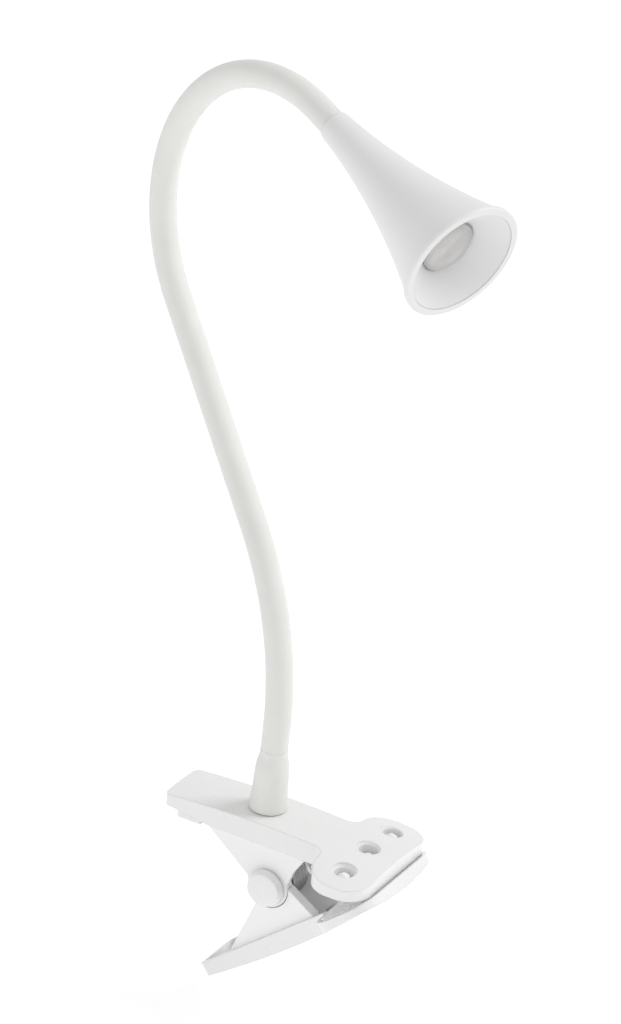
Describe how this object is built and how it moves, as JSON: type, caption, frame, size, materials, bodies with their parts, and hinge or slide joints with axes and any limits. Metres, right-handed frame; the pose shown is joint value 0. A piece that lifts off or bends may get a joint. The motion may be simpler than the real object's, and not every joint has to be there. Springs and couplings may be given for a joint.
{
  "type": "clip-on reading lamp",
  "caption": "Clip-on reading lamp: a sprung clamp with a hammerhead jaw carries a sleeved gooseneck and a small trumpet head with a domed lens.",
  "frame": {"origin": "centre of the upper jaw's gripping face, where the clamp takes hold of a shelf edge", "axes": "+X along the clamp to the jaw tip, +Y across the clamp, +Z square to the jaw face, up toward the lamp's head"},
  "size_m": [0.1709, 0.0882, 0.3637],
  "materials": {
    "clamp_plastic": "glossy moulded white plastic",
    "frame_plastic": "satin moulded white plastic",
    "pad_silicone": "soft translucent white silicone",
    "screw_steel": "zinc plated",
    "spring_steel": "oiled spring steel",
    "neck_silicone": "matte white silicone",
    "core_steel": "bare steel",
    "head_shell": "satin white paint",
    "reflector_white": "semi-gloss white",
    "lens_clear": "clear polished",
    "lens_ring_grey": "pale grey satin",
    "led_yellow": "phosphor",
    "board_white": "white solder mask",
    "sink_aluminium": "turned",
    "wire_red": "insulated wire"
  },
  "bodies": {
    "clamp_body": {"upper_cover": "clamp_plastic", "upper_frame": "frame_plastic", "upper_pad": "pad_silicone", "cover_screws": "screw_steel", "hinge_pin": "screw_steel", "hinge_cap_near": "clamp_plastic", "hinge_cap_far": "clamp_plastic", "torsion_spring": "spring_steel", "neck_collar": "neck_silicone", "neck_nut": "screw_steel", "cord_gland": "clamp_plastic", "neck_root": "core_steel"},
    "lower_lever": {"lower_cover": "clamp_plastic", "lower_frame": "frame_plastic", "lower_pad": "pad_silicone", "lower_screws": "screw_steel"},
    "neck_link_01": {"neck_core_01": "core_steel", "neck_sleeve_01": "neck_silicone"},
    "neck_link_02": {"neck_core_02": "core_steel", "neck_sleeve_02": "neck_silicone"},
    "neck_link_03": {"neck_core_03": "core_steel", "neck_sleeve_03": "neck_silicone"},
    "neck_link_04": {"neck_core_04": "core_steel", "neck_sleeve_04": "neck_silicone"},
    "neck_link_05": {"neck_core_05": "core_steel", "neck_sleeve_05": "neck_silicone"},
    "neck_link_06": {"neck_core_06": "core_steel", "neck_sleeve_06": "neck_silicone"},
    "neck_link_07": {"neck_core_07": "core_steel", "neck_sleeve_07": "neck_silicone"},
    "neck_link_08": {"neck_core_08": "core_steel", "neck_sleeve_08": "neck_silicone"},
    "neck_link_09": {"neck_core_09": "core_steel", "neck_sleeve_09": "neck_silicone"},
    "neck_link_10": {"neck_core_10": "core_steel", "neck_sleeve_10": "neck_silicone"},
    "head": {"neck_sleeve_11": "neck_silicone", "head_stem": "core_steel", "head_nut": "screw_steel", "shade": "head_shell", "rim_ring": "head_shell", "reflector": "reflector_white", "lens": "lens_clear", "lens_ring": "lens_ring_grey", "led_chip": "led_yellow", "led_board": "board_white", "board_screws": "screw_steel", "heat_sink": "sink_aluminium", "head_wires": "wire_red"}
  },
  "joints": [
    {"name": "clamp_hinge", "type": "hinge", "parent": "clamp_body", "child": "lower_lever", "pos_m": [-0.0356, 0, -0.017], "axis": [0, 1, 0], "range_deg": [0, 36], "stiffness_Nm_per_rad": 1, "springref_deg": -34.38, "deforming": ["torsion_spring"]},
    {"name": "neck_bend_01", "type": "hinge", "parent": "clamp_body", "child": "neck_link_01", "pos_m": [-0.0443, 0, 0.0379], "axis": [0.3649, 0.9311, 0], "range_deg": [-20, 25], "deforming": ["neck_sleeve_01"]},
    {"name": "neck_sway_02", "type": "hinge", "parent": "neck_link_01", "child": "neck_link_02", "pos_m": [-0.04676, 0.00096, 0.07126], "axis": [0.9099, -0.3566, 0.2119], "range_deg": [-30, 30], "deforming": ["neck_sleeve_02"]},
    {"name": "neck_bend_03", "type": "hinge", "parent": "neck_link_02", "child": "neck_link_03", "pos_m": [-0.05765, 0.00523, 0.10258], "axis": [0.3649, 0.9311, 0], "range_deg": [-15, 35], "deforming": ["neck_sleeve_03"]},
    {"name": "neck_sway_04", "type": "hinge", "parent": "neck_link_03", "child": "neck_link_04", "pos_m": [-0.07585, 0.01236, 0.12978], "axis": [0.7266, -0.2848, 0.6252], "range_deg": [-30, 30], "deforming": ["neck_sleeve_04"]},
    {"name": "neck_bend_05", "type": "hinge", "parent": "neck_link_04", "child": "neck_link_05", "pos_m": [-0.09538, 0.02002, 0.15596], "axis": [0.3649, 0.9311, 0], "range_deg": [-30, 30], "deforming": ["neck_sleeve_05"]},
    {"name": "neck_sway_06", "type": "hinge", "parent": "neck_link_05", "child": "neck_link_06", "pos_m": [-0.11491, 0.02767, 0.18214], "axis": [0.7266, -0.2848, 0.6252], "range_deg": [-30, 30], "deforming": ["neck_sleeve_06"]},
    {"name": "neck_bend_07", "type": "hinge", "parent": "neck_link_06", "child": "neck_link_07", "pos_m": [-0.13089, 0.03393, 0.21067], "axis": [0.3649, 0.9311, 0], "range_deg": [-35, 8], "deforming": ["neck_sleeve_07"]},
    {"name": "neck_sway_08", "type": "hinge", "parent": "neck_link_07", "child": "neck_link_08", "pos_m": [-0.13206, 0.03439, 0.24381], "axis": [0.9077, -0.3557, -0.2228], "range_deg": [-30, 30], "deforming": ["neck_sleeve_08"]},
    {"name": "neck_bend_09", "type": "hinge", "parent": "neck_link_08", "child": "neck_link_09", "pos_m": [-0.1176, 0.02873, 0.27311], "axis": [0.3649, 0.9311, 0], "range_deg": [-35, 8], "deforming": ["neck_sleeve_09"]},
    {"name": "neck_sway_10", "type": "hinge", "parent": "neck_link_09", "child": "neck_link_10", "pos_m": [-0.09142, 0.01846, 0.29069], "axis": [0.2717, -0.1065, -0.9565], "range_deg": [-30, 30], "deforming": ["neck_sleeve_10"]},
    {"name": "neck_bend_11", "type": "hinge", "parent": "neck_link_10", "child": "head", "pos_m": [-0.06055, 0.00637, 0.2918], "axis": [0.3649, 0.9311, 0], "range_deg": [-35, 12], "deforming": ["neck_sleeve_11"]}
  ]
}
